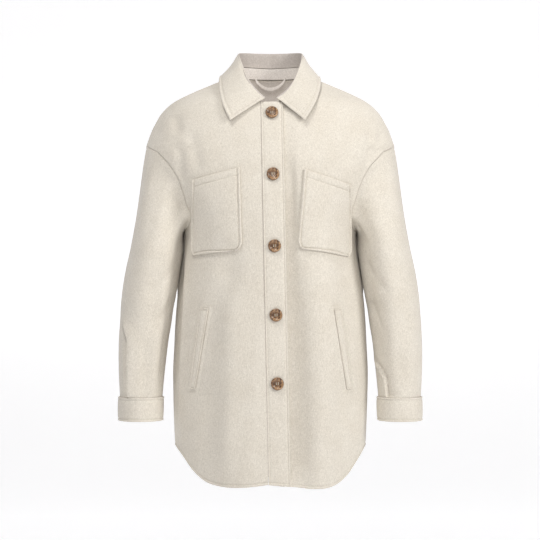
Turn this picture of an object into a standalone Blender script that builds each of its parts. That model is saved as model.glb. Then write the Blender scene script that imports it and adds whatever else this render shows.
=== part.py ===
"""Shacket, filled out with no wearer: wool-blend overshirt with patch pockets and a curved hem.

+X is the wearer's left, the front faces -Y, +Z is up. The origin is on the middle plane, level
with the neck seam where it meets the shoulder seams. Working sizes are in millimetres.
"""

import math

import bmesh
import bpy
import numpy as np

MM = 0.001
CLOTH = 2.0
DOUBLED = 3.6
SEAM_GAP = 0.6
LAID_GAP = 0.9

NECK_FRONT_Z = -50.0
ARMPIT_Z = -283.0
PLACKET_HALF = 20.0
PLACKET_RISE = 1.4
UNDERLAP_DROP = 2.9
PLACKET_STEPS = (-PLACKET_HALF + SEAM_GAP, -10, 0, 10, PLACKET_HALF)
PLACKET_TOP_RISE = 1.0
# The underlap steps back under the placket, and eases out again this far beyond its middle.
UNDERLAP_REACH = 44.0
UNDERLAP_EASE = 20.0
BUTTON_DIAMETER = 23.0
BUTTON_HEIGHTS = (-70.0, -181.0, -309.0, -432.0, -554.0)
BUTTON_STEPS = 16
# Radius and height of the button's outline, from its front middle round to its back.
BUTTON_PROFILE = (
    (0, 1.5),
    (6.6, 1.5),
    (8.2, 3.2),
    (10.2, 3.4),
    (BUTTON_DIAMETER / 2, 2.2),
    (BUTTON_DIAMETER / 2, 1.0),
    (9.6, 0),
    (0, 0),
)
THREAD_HOLE_RADIUS = 1.2
THREAD_HOLE_CIRCLE = 2.6
THREAD_HOLE_SIDES = 6
CUTTER_DEPTH = 8.0

# Each level of the body: height, half width, and how far front and back stand from the arm line.
BODY = (
    (6, 60, 12, 50),
    (0, 92, 25, 60),
    (-7, 109, 37, 66),
    (-22, 142, 58, 76),
    (-44, 183, 86, 88),
    (-60, 200, 96, 94),
    (-82, 213, 104, 100),
    (-110, 225, 111, 106),
    (-130, 231, 115, 109),
    (-150, 229, 118, 111),
    (-185, 212, 121, 113),
    (-208, 196, 123, 114),
    (-231, 180, 124, 114),
    (-268, 161, 125, 113),
    (-283, 158, 125, 113),
    (-316, 159.5, 125, 112),
    (-350, 164.5, 125, 112),
    (-403, 172.3, 124, 111),
    (-445, 175.8, 123.5, 111),
    (-490, 178, 123, 112),
    (-540, 180.3, 122, 113),
    (-585, 179.4, 120, 115),
    (-655, 177, 117, 117),
    (-760, 170, 110, 119),
)
# Height and angle from the front middle where the front panel ends: shoulder seam, then armhole.
PANEL_EDGE = (
    (0, 45),
    (-5, 60),
    (-13, 64),
    (-28, 71),
    (-44, 75),
    (-59, 78),
    (-82, 80),
    (-124, 80.7),
    (-135, 65.4),
    (-148, 58.9),
    (-185, 53),
    (-208, 55),
    (-231, 58.8),
    (-268, 67),
    (-279, 78),
    (-283, 90),
)
# Height and half width of the front neckline.
NECK = ((0, 65), (-8, 62), (-18, 55), (-28, 46), (-40, 30), (-47, 14), (-50, 0))
# Back neckline from the shoulder seam to the nape.
NECK_BACK = ((65, -17.7, 0), (68, 6, 3.5), (61, 30, 6), (38, 52, 6), (0, 60, 6))
# Angle from the front middle and height of the hem, then the same round the back.
HEM_FRONT = {
    -1: (
        (0, -736),
        (15, -741),
        (30, -741),
        (43, -733),
        (54, -715),
        (64, -694),
        (77, -679),
        (90, -674),
    ),
    1: (
        (0, -736),
        (15, -742),
        (30, -745),
        (43, -740),
        (54, -724),
        (64, -702),
        (77, -681),
        (90, -674),
    ),
}
HEM_BACK = ((90, -674), (103, -684), (116, -702), (130, -728), (145, -744), (180, -750))
# Each level of a sleeve: height, inner and outer x, middle y and half depth.
SLEEVE = (
    (-316, 160.6, 258, -14, 68),
    (-350, 165.6, 265.5, -16, 65),
    (-403, 174.2, 273.5, -18, 60),
    (-422, 178, 275, -18.5, 58),
    (-451, 182, 277, -19, 56),
    (-481, 187, 278.5, -19.5, 53.5),
    (-510, 190.6, 279, -20, 51),
    (-551, 195, 278, -22, 46),
    (-583.5, 198, 276, -25, 42),
)
CUFF = ((-584, 195, 279, -25, 44), (-604, 195, 279.5, -27, 43.5), (-624, 196, 279, -29, 43))
# Soft folds of the fronts: side, top x and z, bottom x and z, half width, depth inwards.
FOLDS = (
    (1, 42, -250, 58, -745, 20, 9.0),
    (-1, 60, -330, 115, -690, 26, 3.5),
    (-1, 20, -400, 45, -730, 26, -3.5),
    (1, 105, -330, 95, -720, 30, -4.0),
)
# Collar paths from the front end to the back middle: stand top, roll line and outer edge.
STAND_TOP = (
    (24, -81, -34),
    (42, -70, -20),
    (60, -28, 9),
    (64, 6, 22),
    (57, 29, 26),
    (36, 48, 27),
    (0, 56, 26),
)
ROLL = {
    -1: (
        (13.5, -95, -45),
        (25, -89, -34),
        (36, -77, -18),
        (45, -58, 2),
        (53, -34, 26),
        (58, -6, 43),
        (59, 16, 50),
        (49, 37, 53),
        (31, 52, 54),
        (0, 58, 54),
    ),
    1: (
        (14.5, -95, -45),
        (29, -89, -34),
        (41, -77, -17),
        (49, -58, 2),
        (56, -34, 24),
        (59, -6, 41),
        (59, 16, 50),
        (49, 37, 53),
        (31, 52, 54),
        (0, 58, 54),
    ),
}
OUTER = {
    -1: (
        (72, -109, -84),
        (84, -96, -59),
        (93, -62, -26),
        (94, -12, 4),
        (87, 36, 2),
        (58, 74, -8),
        (0, 88, -12),
    ),
    1: (
        (62, -111, -84),
        (78, -98, -57),
        (90, -63, -26),
        (93, -12, 2),
        (87, 36, 2),
        (58, 74, -8),
        (0, 88, -12),
    ),
}
# How far the stand starts above the neck seam at each point of it, and the front part's heights.
STAND_RISES = (3.0, 3.0, 3.0, 3.0, 3.0, 3.0, 3.0, 2.2, 1.4, 0.9, 0.9)
NECKLINE_HEIGHTS = (-42, -39, -34, -27, -18, -8)
STAND_SHARES = (0, 0.5, 1)
STAND_COLUMNS = 12
LEAF_SHARES = (0, 0.22, 0.4, 0.5, 0.6, 0.74, 0.88, 1)
LEAF_COLUMNS = 13
# The leaf reaches past the stand to this point over the top of the placket.
LEAF_END = np.array([12.5, -90, -45])
# Patch pocket corners on each side: top inner, top outer, bottom outer, bottom inner.
POCKET = {
    -1: ((54, -169), (140, -190), (142, -326), (49, -317)),
    1: ((60, -172), (145, -199), (146, -328), (48, -314)),
}
POCKET_WALL = 2.4
# Rounding of the lower inner and outer corners, and the share of the height that it takes.
POCKET_CORNERS = {-1: (14.0, 5.0), 1: (10.0, 8.0)}
CORNER_SHARE = 0.12
POCKET_ACROSS = (0, 0.1, 0.25, 0.4, 0.55, 0.7, 0.85, 0.95, 1)
POCKET_DOWN = (0, 0.13, 0.27, 0.4, 0.53, 0.66, 0.79, 0.88, 0.94, 0.98, 1)
WELT = ((111, -421), (126, -421), (147, -567), (137, -567))
WELT_ACROSS = (0, 0.5, 1)
WELT_DOWN = tuple(i / 8 for i in range(9))
# Hanger loop: its span, sag, band height and wall, and where it crosses the nape.
LOOP_SPAN = 56.0
LOOP_SAG = 19.0
LOOP_BAND = 5.5
LOOP_WALL = 1.2
LOOP_END_Z = 10.0
LOOP_NAPE_Y = 54.6
LOOP_BOW = 9.0
LOOP_BOW_SPAN = 38.0
LOOP_SEGMENTS = 10

# Grid of the panels: heights along the shoulder seam and the armhole, then shares down to the hem.
SEAM_LEVELS = (-2, -6, -13, -28, -44, -51, -64, -82, -104, -124)
ARMHOLE_LEVELS = (-135, -148, -166, -185, -208, -231, -252, -268, -278, -283)
LOWER_ROWS = 12
LOWER_SHARES = tuple((i / LOWER_ROWS) ** 1.25 for i in range(1, LOWER_ROWS + 1))
FRONT_COLUMNS = 13
NECK_COLUMNS = 6
# The back comes over the shoulder from the front's seam down to its own first level.
OVER_ROWS = 5
OVER_SPACING = 1.6
OVER_REACH = 26.0
OVER_TIP_REACH = 12.0
OVER_FALL = 0.42
NAPE_REACH = np.array([0, 14, -10])
BACK_START_Z = -130.0
BACK_START_ANGLE = 99.0
# The sleeve's cap leaves the armhole and falls to the sleeve's first level.
CAP_ROWS = 6
CAP_SPACING = 1.2
TIP_ANGLE = 0.22
SLEEVE_LEVELS = (-350, -390, -430, -470, -510, -550, -583.5)
CUFF_POINTS = 24


def smooth(value, table, column=1):
    """Smooth value of one column, with the table's first column as its variable."""
    keys = [row[0] for row in table]
    data = [row[column] for row in table]
    if keys[0] > keys[-1]:
        keys = [-key for key in keys]
        value = -value
    value = min(max(value, keys[0]), keys[-1])
    i = min(max(int(np.searchsorted(keys, value)) - 1, 0), len(keys) - 2)
    slopes = np.gradient(data, keys)
    step = keys[i + 1] - keys[i]
    t = (value - keys[i]) / step
    return float(
        data[i] * (1 + 2 * t) * (1 - t) ** 2
        + step * slopes[i] * t * (1 - t) ** 2
        + data[i + 1] * t * t * (3 - 2 * t)
        + step * slopes[i + 1] * t * t * (t - 1)
    )


def along(points, t):
    """Point at share t of a smooth curve through these points."""
    points = np.array(points, float)
    lengths = np.concatenate([[0], np.cumsum(np.linalg.norm(np.diff(points, axis=0), axis=1))])
    rows = [(length, *point) for length, point in zip(lengths / lengths[-1], points)]
    return np.array([smooth(t, rows, axis) for axis in (1, 2, 3)])


def centre_x(z):
    """Middle of the closing, which drifts to the wearer's left towards the hem."""
    return 2.7 + 9.8 * (-70 - z) / 484


def fold_depth(side, x, z):
    depth = 0.0
    for fold_side, x0, z0, x1, z1, width, inwards in FOLDS:
        if fold_side != side:
            continue
        t = (z - z0) / (z1 - z0)
        fade = min(max(2.2 * t, 0), 1)
        fade = fade * fade * (3 - 2 * fade)
        middle = x0 + (x1 - x0) * max(t, 0)
        depth += inwards * fade * math.exp(-(((x - middle) / width) ** 2))
    return depth


def front_point(side, angle, z):
    """Point of the front's outer face on the side's own x, before it is mirrored."""
    half, depth = smooth(z, BODY, 1), smooth(z, BODY, 2)
    x = half * math.sin(angle)
    y = -depth * math.cos(angle) + fold_depth(side, x, z) * max(math.cos(angle), 0)
    return np.array([x, y, z])


def back_point(angle, z):
    half, depth = smooth(z, BODY, 1), smooth(z, BODY, 3)
    return np.array([half * math.sin(angle), -depth * math.cos(angle), z])


def on_front(side, x, z, out=0.0):
    """Point of the front above side x, moved out along the surface's normal."""
    def surface(x_at, z_at):
        half = smooth(z_at, BODY, 1)
        return front_point(side, math.asin(max(min(x_at / half, 1), -1)), z_at)

    here = surface(x, z)
    normal = np.cross(surface(x, z + 2) - surface(x, z - 2), surface(x + 1, z) - surface(x - 1, z))
    normal /= np.linalg.norm(normal)
    return here + out * (normal if normal[1] < 0 else -normal)


def smoothstep(t):
    t = min(max(t, 0.0), 1.0)
    return t * t * (3 - 2 * t)


def front_edge_x(side, z):
    """Side x where a front panel's inner edge runs: placket seam, or the underlap's edge."""
    edge = PLACKET_HALF - centre_x(z) if side < 0 else centre_x(z) - PLACKET_HALF + 2
    return max(edge, smooth(z, NECK)) if z > NECK_FRONT_Z else edge


def front_row(side, level, edge_angle, hem_share=None):
    row = []
    for i in range(FRONT_COLUMNS + 1):
        share = i / FRONT_COLUMNS
        z = level
        if hem_share is not None:
            hem = smooth(math.degrees(edge_angle) * share, HEM_FRONT[side])
            z = ARMPIT_Z + (hem - ARMPIT_Z) * hem_share
        inner = math.asin(front_edge_x(side, z) / smooth(z, BODY, 1))
        angle = inner + (edge_angle - inner) * share
        point = front_point(side, angle, z)
        if side > 0:
            across = smoothstep((centre_x(z) + UNDERLAP_REACH - point[0]) / UNDERLAP_EASE)
            point[1] += UNDERLAP_DROP * across * smoothstep((-40 - z) / 10)
        row.append(point)
    return row


def front_grid(side):
    """Rows of a front from its shoulder seam down to the hem, each from the closing outwards."""
    levels = SEAM_LEVELS + ARMHOLE_LEVELS
    rows = [front_row(side, z, math.radians(smooth(z, PANEL_EDGE))) for z in levels]
    for share in LOWER_SHARES:
        rows.append(front_row(side, None, math.pi / 2, share))
    return np.array(rows)


def bezier(p0, p1, p2, p3, t):
    return (1 - t) ** 3 * p0 + 3 * t * (1 - t) ** 2 * p1 + 3 * t * t * (1 - t) * p2 + t ** 3 * p3


def back_top(front):
    """Back's upper edge on the +X side: the nape to the shoulder seam, then along the seam."""
    neck = [along(NECK_BACK, 1 - i / NECK_COLUMNS) for i in range(NECK_COLUMNS)]
    seam = [front[i][-1] for i in range(len(SEAM_LEVELS))]
    return neck + seam


def leaving(points, inner, closed=True):
    """Unit directions in which cloth leaves an edge, square to it and in line with the panel."""
    points, inner = np.array(points), np.array(inner)
    if closed:
        along_edge = np.roll(points, -1, axis=0) - np.roll(points, 1, axis=0)
    else:
        along_edge = np.gradient(points, axis=0)
    along_edge /= np.linalg.norm(along_edge, axis=1, keepdims=True)
    leave = points - inner
    leave -= (leave * along_edge).sum(axis=1, keepdims=True) * along_edge
    return leave / np.linalg.norm(leave, axis=1, keepdims=True)


def back_half(front):
    """Rows of the back's +X half, from the middle outwards."""
    top = back_top(front)
    seam = range(len(SEAM_LEVELS))
    over = leaving([front[i][-1] for i in seam], [front[i][-2] for i in seam], closed=False)
    columns = len(top) - 1
    start_span = math.radians(BACK_START_ANGLE) - math.pi
    start = [back_point(math.pi + start_span * i / columns, BACK_START_Z) for i in range(columns + 1)]
    rows = []
    for r in range(OVER_ROWS):
        t = (r / OVER_ROWS) ** OVER_SPACING
        row = []
        for i, (upper, lower) in enumerate(zip(top, start)):
            share = min(max((i - 2) / (NECK_COLUMNS - 2), 0), 1)
            reach = (1 - share) * NAPE_REACH + OVER_REACH * share * over[max(i - NECK_COLUMNS, 0)]
            fall = OVER_FALL * (upper[2] - lower[2])
            if i == columns:
                reach, fall = OVER_TIP_REACH * over[-1], 0.0
            above = lower + np.array([0, -2.0, fall])
            row.append(bezier(upper, upper + reach, above, lower, t))
        rows.append(row)
    rows.append(start)
    for z in ARMHOLE_LEVELS:
        span = -math.radians(smooth(z, PANEL_EDGE))
        rows.append([back_point(math.pi + span * i / columns, z) for i in range(columns + 1)])
    for share in LOWER_SHARES:
        row = []
        for i in range(columns + 1):
            angle = math.pi - math.pi / 2 * i / columns
            hem = smooth(math.degrees(angle), HEM_BACK)
            row.append(back_point(angle, ARMPIT_Z + (hem - ARMPIT_Z) * share))
        rows.append(row)
    return np.array(rows)


def mirrored(grid):
    return grid * np.array([-1.0, 1.0, 1.0])


def drawn_in(grid, sides, gap=SEAM_GAP / 2):
    """Grid with the named outer rows or columns moved towards the next ones by the gap."""
    result = grid.copy()
    steps = {
        "first_row": (np.s_[0], np.s_[1]),
        "last_row": (np.s_[-1], np.s_[-2]),
        "first_column": (np.s_[:, 0], np.s_[:, 1]),
        "last_column": (np.s_[:, -1], np.s_[:, -2]),
    }
    for side in sides:
        edge, inner = steps[side]
        towards = grid[inner] - grid[edge]
        lengths = np.maximum(np.linalg.norm(towards, axis=-1, keepdims=True), 1e-6)
        result[edge] = result[edge] + towards / lengths * np.minimum(gap, lengths / 2)
    return result


def armhole_loop(front, back):
    """Armhole points and the way that the cloth leaves the panels, from the tip down the front."""
    seam_end = len(SEAM_LEVELS) - 1
    armhole_end = seam_end + len(ARMHOLE_LEVELS)
    points = [front[i][-1] for i in range(seam_end, armhole_end + 1)]
    inner = [front[i][-2] for i in range(seam_end, armhole_end + 1)]
    last = OVER_ROWS + len(ARMHOLE_LEVELS)
    points += [back[i][-1] for i in range(last - 1, 0, -1)]
    inner += [back[i][-2] for i in range(last - 1, 0, -1)]
    return np.array(points), leaving(points, inner)


def sleeve_angles(points):
    """Angle of each armhole point about the arm: the tip is outermost and the armpit innermost."""
    steps = np.linalg.norm(np.roll(points, -1, axis=0) - points, axis=1)
    reached = np.concatenate([[0], np.cumsum(steps)])
    armpit = reached[len(ARMHOLE_LEVELS)]
    knots = (0, armpit, reached[-1])
    return -np.interp(reached[:-1], knots, (TIP_ANGLE, math.pi, 2 * math.pi + TIP_ANGLE))


def sleeve_ring(z, angles, table):
    row = [z] + [smooth(z, table, column) for column in (1, 2, 3, 4)]
    middle, half = (row[1] + row[2]) / 2, (row[2] - row[1]) / 2
    return np.array([[middle + half * math.cos(a), row[3] + row[4] * math.sin(a), z] for a in angles])


def sleeve_grid(front, back):
    points, leave = armhole_loop(front, back)
    angles = sleeve_angles(points)
    first = sleeve_ring(SLEEVE[0][0], angles, SLEEVE)
    start = points + leave * SEAM_GAP
    turn = (np.roll(leave, 1, axis=0) + leave + np.roll(leave, -1, axis=0)) / 3
    fall = np.maximum(points[:, 2] - SLEEVE[0][0], 20)
    slope = np.stack([-0.1 - 0.1 * np.cos(angles), 0 * angles, 0 * angles + 1], axis=1)
    rows = []
    for r in range(CAP_ROWS):
        t = (r / CAP_ROWS) ** CAP_SPACING
        reach = turn * (6 + 0.13 * fall)[:, None]
        lift = 0.45 * fall[:, None] * slope
        rows.append(bezier(start, start + reach, first + lift, first, t))
    rows.append(first)
    rows += [sleeve_ring(z, angles, SLEEVE) for z in SLEEVE_LEVELS]
    return np.array(rows)


def material(name, colour, roughness):
    made = bpy.data.materials.new(name)
    made.use_nodes = True
    shader = made.node_tree.nodes["Principled BSDF"]
    shader.inputs["Base Color"].default_value = (*colour, 1)
    shader.inputs["Roughness"].default_value = roughness
    shader.inputs["Metallic"].default_value = 0.0
    return made


def surface_object(name, grid, look, collection, flip=False, closed=False):
    """Mesh of quads over a grid of points, with its rows joined end to end where it is closed."""
    rows, columns = grid.shape[:2]
    faces = []
    for r in range(rows - 1):
        for c in range(columns if closed else columns - 1):
            d = (c + 1) % columns
            face = (r * columns + c, r * columns + d, (r + 1) * columns + d, (r + 1) * columns + c)
            faces.append(face[::-1] if flip else face)
    mesh = bpy.data.meshes.new(name)
    mesh.from_pydata([tuple(point * MM) for point in grid.reshape(-1, 3)], [], faces)
    mesh.materials.append(look)
    mesh.shade_smooth()
    made = bpy.data.objects.new(name, mesh)
    collection.objects.link(made)
    return made


def thicken(made, wall):
    """Wall of the given thickness on the inner side of the surface."""
    modifier = made.modifiers.new("wall", "SOLIDIFY")
    modifier.thickness = wall * MM
    modifier.offset = -1
    modifier.use_even_offset = True
    modifier.thickness_clamp = 0


def patch_grid(side, corners, across, down, out, rounding=(0.0, 0.0)):
    """Grid over four corners on a front, moved out, with its lower corners rounded."""
    top_in, top_out, low_out, low_in = [np.array(corner, float) for corner in corners]
    grid = []
    for v in down:
        row = []
        near_end = max(0.0, 1 - (1 - v) / CORNER_SHARE)
        pull = 1 - math.sqrt(max(1 - near_end ** 2, 0))
        for u in across:
            flat = (1 - v) * ((1 - u) * top_in + u * top_out) + v * ((1 - u) * low_in + u * low_out)
            inwards = pull * ((1 - u) * rounding[0] - u * rounding[1])
            row.append(on_front(side, flat[0] + inwards, flat[1], out))
        grid.append(row)
    return np.array(grid)


def placket_grid():
    """Strip over both front edges, from the neck to the hem, written in the wearer's-left x."""
    upper = [NECK_FRONT_Z + PLACKET_TOP_RISE]
    upper += [z for z in SEAM_LEVELS + ARMHOLE_LEVELS if z < NECK_FRONT_Z]
    shares = [0] * len(upper) + list(LOWER_SHARES)
    levels = upper + [ARMPIT_Z] * LOWER_ROWS
    grid = []
    for level, share in zip(levels, shares):
        row = []
        for offset in PLACKET_STEPS:
            z = level + (smooth(4.0 + offset / 6, HEM_FRONT[1]) - level) * share
            x = centre_x(z) + offset
            half, depth = smooth(z, BODY, 1), smooth(z, BODY, 2)
            y = -depth * math.sqrt(1 - (x / half) ** 2) - PLACKET_RISE
            row.append([x, y, z])
        grid.append(row)
    return np.array(grid)


def collar_half(paths, shares, columns):
    """Rows across a collar piece for columns from the front end to the back middle."""
    grid = []
    for c in range(columns + 1):
        knots = [along(path, c / columns) for path in paths]
        rows = [(i / (len(knots) - 1), *knot) for i, knot in enumerate(knots)]
        grid.append([[smooth(share, rows, axis) for axis in (1, 2, 3)] for share in shares])
    return np.array(grid).transpose(1, 0, 2)


def both_halves(left, right):
    """Whole grid from two halves whose last columns lie on the middle plane."""
    return np.concatenate([left, mirrored(right)[:, -2::-1]], axis=1)


def neckline_path():
    front = []
    for z in NECKLINE_HEIGHTS:
        half, depth = smooth(z, BODY, 1), smooth(z, BODY, 2)
        x = smooth(z, NECK)
        front.append((x, -depth * math.sqrt(1 - (x / half) ** 2), z))
    return tuple(front) + NECK_BACK


def add_collar(cloth, collection):
    path = neckline_path()
    neckline = np.array([(x, y, z + rise) for (x, y, z), rise in zip(path, STAND_RISES)])
    half = collar_half([neckline, STAND_TOP], STAND_SHARES, STAND_COLUMNS)
    stand = drawn_in(both_halves(half, half), ["last_row"])
    thicken(surface_object("collar_stand", stand, cloth, collection), DOUBLED)
    above = [LEAF_END] + [np.array(point) + np.array([0, 0, 2 * SEAM_GAP]) for point in STAND_TOP]
    halves = [collar_half([above, ROLL[side], OUTER[side]], LEAF_SHARES, LEAF_COLUMNS) for side in (1, -1)]
    leaf = both_halves(*halves)
    thicken(surface_object("collar_leaf", leaf, cloth, collection, flip=True), CLOTH)


def add_button(index, z, look, collection, cutters):
    """Four-hole button with a raised rim, facing out of the placket."""
    mesh = bpy.data.meshes.new(f"button_{index}")
    points = [(x * MM, 0, height * MM) for x, height in BUTTON_PROFILE]
    mesh.from_pydata(points, [(i, i + 1) for i in range(len(points) - 1)], [])
    made = bpy.data.objects.new(f"button_{index}", mesh)
    collection.objects.link(made)
    screw = made.modifiers.new("turn", "SCREW")
    screw.steps = screw.render_steps = BUTTON_STEPS
    screw.use_merge_vertices = True
    screw.merge_threshold = 0.00001
    x = centre_x(z)
    slope = math.atan2(smooth(z - 10, BODY, 2) - smooth(z + 10, BODY, 2), 20)
    place_y = -smooth(z, BODY, 2) * math.sqrt(1 - (x / smooth(z, BODY, 1)) ** 2) - PLACKET_RISE
    made.location = (x * MM, (place_y - LAID_GAP) * MM, z * MM)
    made.rotation_euler = (math.pi / 2 - slope, 0, 0)
    mesh.materials.append(look)
    cutter = bpy.data.meshes.new(f"holes_{index}")
    holes = bmesh.new()
    hole_radius, circle = THREAD_HOLE_RADIUS * MM, THREAD_HOLE_CIRCLE * MM
    for turn in range(4):
        angle = math.pi / 4 + turn * math.pi / 2
        hole = bmesh.ops.create_cone(
            holes,
            cap_ends=True,
            segments=THREAD_HOLE_SIDES,
            radius1=hole_radius,
            radius2=hole_radius,
            depth=CUTTER_DEPTH * MM,
        )
        move = (circle * math.cos(angle), circle * math.sin(angle), 0)
        bmesh.ops.translate(holes, verts=hole["verts"], vec=move)
    holes.to_mesh(cutter)
    holes.free()
    tool = bpy.data.objects.new(f"holes_{index}", cutter)
    tool.location, tool.rotation_euler = made.location, made.rotation_euler
    tool.hide_render, tool.display_type = True, "WIRE"
    cutters.objects.link(tool)
    cut = made.modifiers.new("thread_holes", "BOOLEAN")
    cut.object = tool


def add_loop(cloth, collection):
    """Hanger loop: a flat band whose ends sit on the nape seam and which sags between them."""
    path = []
    for i in range(LOOP_SEGMENTS + 1):
        share = i / LOOP_SEGMENTS
        x = LOOP_SPAN * (share - 0.5)
        y = LOOP_NAPE_Y - LOOP_BOW * (x / LOOP_BOW_SPAN) ** 2
        path.append((x, y, LOOP_END_Z - LOOP_SAG * math.sin(math.pi * share) ** 0.6))
    upper = np.array(path)
    grid = np.array([upper, upper - np.array([0, 0, LOOP_BAND])])
    thicken(surface_object("hanger_loop", grid, cloth, collection), LOOP_WALL)


def build():
    for old in list(bpy.data.objects):
        bpy.data.objects.remove(old, do_unlink=True)
    collection = bpy.data.collections.new("shacket")
    cutters = bpy.data.collections.new("cutters")
    bpy.context.scene.collection.children.link(collection)
    bpy.context.scene.collection.children.link(cutters)
    cloth = material("wool_cloth", (0.82, 0.77, 0.68), 0.95)
    horn = material("horn_button", (0.40, 0.25, 0.15), 0.35)

    fronts = {side: front_grid(side) for side in (-1, 1)}
    back = back_half(fronts[1])
    names = {-1: "right", 1: "left"}
    for side, front in fronts.items():
        word = names[side]
        panel = drawn_in(front, ["last_column"])
        panel = mirrored(panel) if side < 0 else panel
        thicken(surface_object(f"front_{word}", panel, cloth, collection, flip=side > 0), CLOTH)
        sleeve = sleeve_grid(fronts[1], back)
        cuff_angles = [2 * math.pi * i / CUFF_POINTS for i in range(CUFF_POINTS)]
        cuff = np.array([sleeve_ring(row[0], cuff_angles, CUFF) for row in CUFF])
        patch_out = LAID_GAP + POCKET_WALL + 0.2
        corners, rounding = POCKET[side], POCKET_CORNERS[side]
        patch = patch_grid(side, corners, POCKET_ACROSS, POCKET_DOWN, patch_out, rounding)
        welt = patch_grid(side, WELT, WELT_ACROSS, WELT_DOWN, LAID_GAP + CLOTH)
        if side < 0:
            sleeve, cuff, patch, welt = [mirrored(grid) for grid in (sleeve, cuff, patch, welt)]
        made = surface_object(f"sleeve_{word}", sleeve, cloth, collection, side < 0, True)
        thicken(made, CLOTH)
        made = surface_object(f"cuff_{word}", cuff, cloth, collection, side > 0, True)
        thicken(made, DOUBLED)
        thicken(surface_object(f"pocket_{word}", patch, cloth, collection, side > 0), POCKET_WALL)
        thicken(surface_object(f"welt_{word}", welt, cloth, collection, side > 0), CLOTH)

    whole_back = np.concatenate([mirrored(back)[:, :0:-1], back], axis=1)
    whole_back = drawn_in(whole_back, ["first_row", "first_column", "last_column"])
    thicken(surface_object("back", whole_back, cloth, collection), CLOTH)
    thicken(surface_object("placket", placket_grid(), cloth, collection, flip=True), DOUBLED)
    add_collar(cloth, collection)
    add_loop(cloth, collection)
    for index, z in enumerate(BUTTON_HEIGHTS, 1):
        add_button(index, z, horn, collection, cutters)


build()
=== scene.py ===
"""Looks of the shacket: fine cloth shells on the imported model's form, sewing, buttons and light.

Working sizes are in millimetres, in the frame's own axes: +X is the wearer's left, -Y the front.
"""

import math

import bmesh
import bpy
import numpy as np
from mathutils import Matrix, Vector


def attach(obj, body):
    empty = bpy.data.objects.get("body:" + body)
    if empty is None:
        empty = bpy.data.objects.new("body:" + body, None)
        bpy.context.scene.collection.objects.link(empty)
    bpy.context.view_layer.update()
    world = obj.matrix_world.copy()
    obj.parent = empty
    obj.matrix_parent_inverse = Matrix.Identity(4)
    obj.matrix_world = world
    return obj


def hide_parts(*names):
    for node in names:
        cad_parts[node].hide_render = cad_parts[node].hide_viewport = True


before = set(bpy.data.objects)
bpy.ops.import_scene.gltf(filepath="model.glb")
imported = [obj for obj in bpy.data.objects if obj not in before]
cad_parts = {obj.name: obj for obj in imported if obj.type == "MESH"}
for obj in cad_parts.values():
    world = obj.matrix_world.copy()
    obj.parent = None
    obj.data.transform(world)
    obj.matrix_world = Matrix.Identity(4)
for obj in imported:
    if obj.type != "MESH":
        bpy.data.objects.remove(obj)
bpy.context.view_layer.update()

MM = 0.001
CLOTH = 2.0
DOUBLED = 3.6
SEAM_GAP = 0.6
LAID_GAP = 0.9
NECK_FRONT_Z = -50.0
ARMPIT_Z = -283.0
PLACKET_HALF = 20.0
PLACKET_RISE = 1.4
PLACKET_TACK_Z = -613.0
POCKET_WALL = 2.4
LEAF_WALL = 2.4
UNDERLAP_DROP = 2.9
UNDERLAP_REACH = 44.0
UNDERLAP_EASE = 20.0
BUTTON_HEIGHTS = (-70.0, -181.0, -309.0, -432.0, -554.0)
# Middle of the closing at the top button, and its drift down to the lowest.
CLOSING_X = 2.7
CLOSING_DRIFT = 9.8

# Form of the garment: the same named values as the solids have.
# Each level of the body: height, half width, and how far front and back stand from the arm line.
BODY = (
    (6, 60, 12, 50),
    (0, 92, 25, 60),
    (-7, 109, 37, 66),
    (-22, 142, 58, 76),
    (-44, 183, 86, 88),
    (-60, 200, 96, 94),
    (-82, 213, 104, 100),
    (-110, 225, 111, 106),
    (-130, 231, 115, 109),
    (-150, 229, 118, 111),
    (-185, 212, 121, 113),
    (-208, 196, 123, 114),
    (-231, 180, 124, 114),
    (-268, 161, 125, 113),
    (-283, 158, 125, 113),
    (-316, 159.5, 125, 112),
    (-350, 164.5, 125, 112),
    (-403, 172.3, 124, 111),
    (-445, 175.8, 123.5, 111),
    (-490, 178, 123, 112),
    (-540, 180.3, 122, 113),
    (-585, 179.4, 120, 115),
    (-655, 177, 117, 117),
    (-760, 170, 110, 119),
)
# Height and angle from the front middle where the front panel ends: shoulder seam, then armhole.
PANEL_EDGE = (
    (0, 45),
    (-5, 60),
    (-13, 64),
    (-28, 71),
    (-44, 75),
    (-59, 78),
    (-82, 80),
    (-124, 80.7),
    (-135, 65.4),
    (-148, 58.9),
    (-185, 53),
    (-208, 55),
    (-231, 58.8),
    (-268, 67),
    (-279, 78),
    (-283, 90),
)
# Height and half width of the front neckline.
NECK = ((0, 65), (-8, 62), (-18, 55), (-28, 46), (-40, 30), (-47, 14), (-50, 0))
# Back neckline from the shoulder seam to the nape.
NECK_BACK = ((65, -17.7, 0), (68, 6, 3.5), (61, 30, 6), (38, 52, 6), (0, 60, 6))
# Angle from the front middle and height of the hem, then the same round the back.
HEM_ANGLES = (0, 15, 30, 43, 54, 64, 77, 90)
HEM_FRONT = {
    -1: tuple(zip(HEM_ANGLES, (-736, -741, -741, -733, -715, -694, -679, -674))),
    1: tuple(zip(HEM_ANGLES, (-736, -742, -745, -740, -724, -702, -681, -674))),
}
HEM_BACK = ((90, -674), (103, -684), (116, -702), (130, -728), (145, -744), (180, -750))
# Each level of a sleeve: height, inner and outer x, middle y and half depth.
SLEEVE = (
    (-316, 160.6, 258, -14, 68),
    (-350, 165.6, 265.5, -16, 65),
    (-403, 174.2, 273.5, -18, 60),
    (-422, 178, 275, -18.5, 58),
    (-451, 182, 277, -19, 56),
    (-481, 187, 278.5, -19.5, 53.5),
    (-510, 190.6, 279, -20, 51),
    (-551, 195, 278, -22, 46),
    (-583.5, 198, 276, -25, 42),
)
# The same of a cuff.
CUFF = ((-584, 195, 279, -25, 44), (-604, 195, 279.5, -27, 43.5), (-627, 196, 279, -29, 43))
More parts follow.
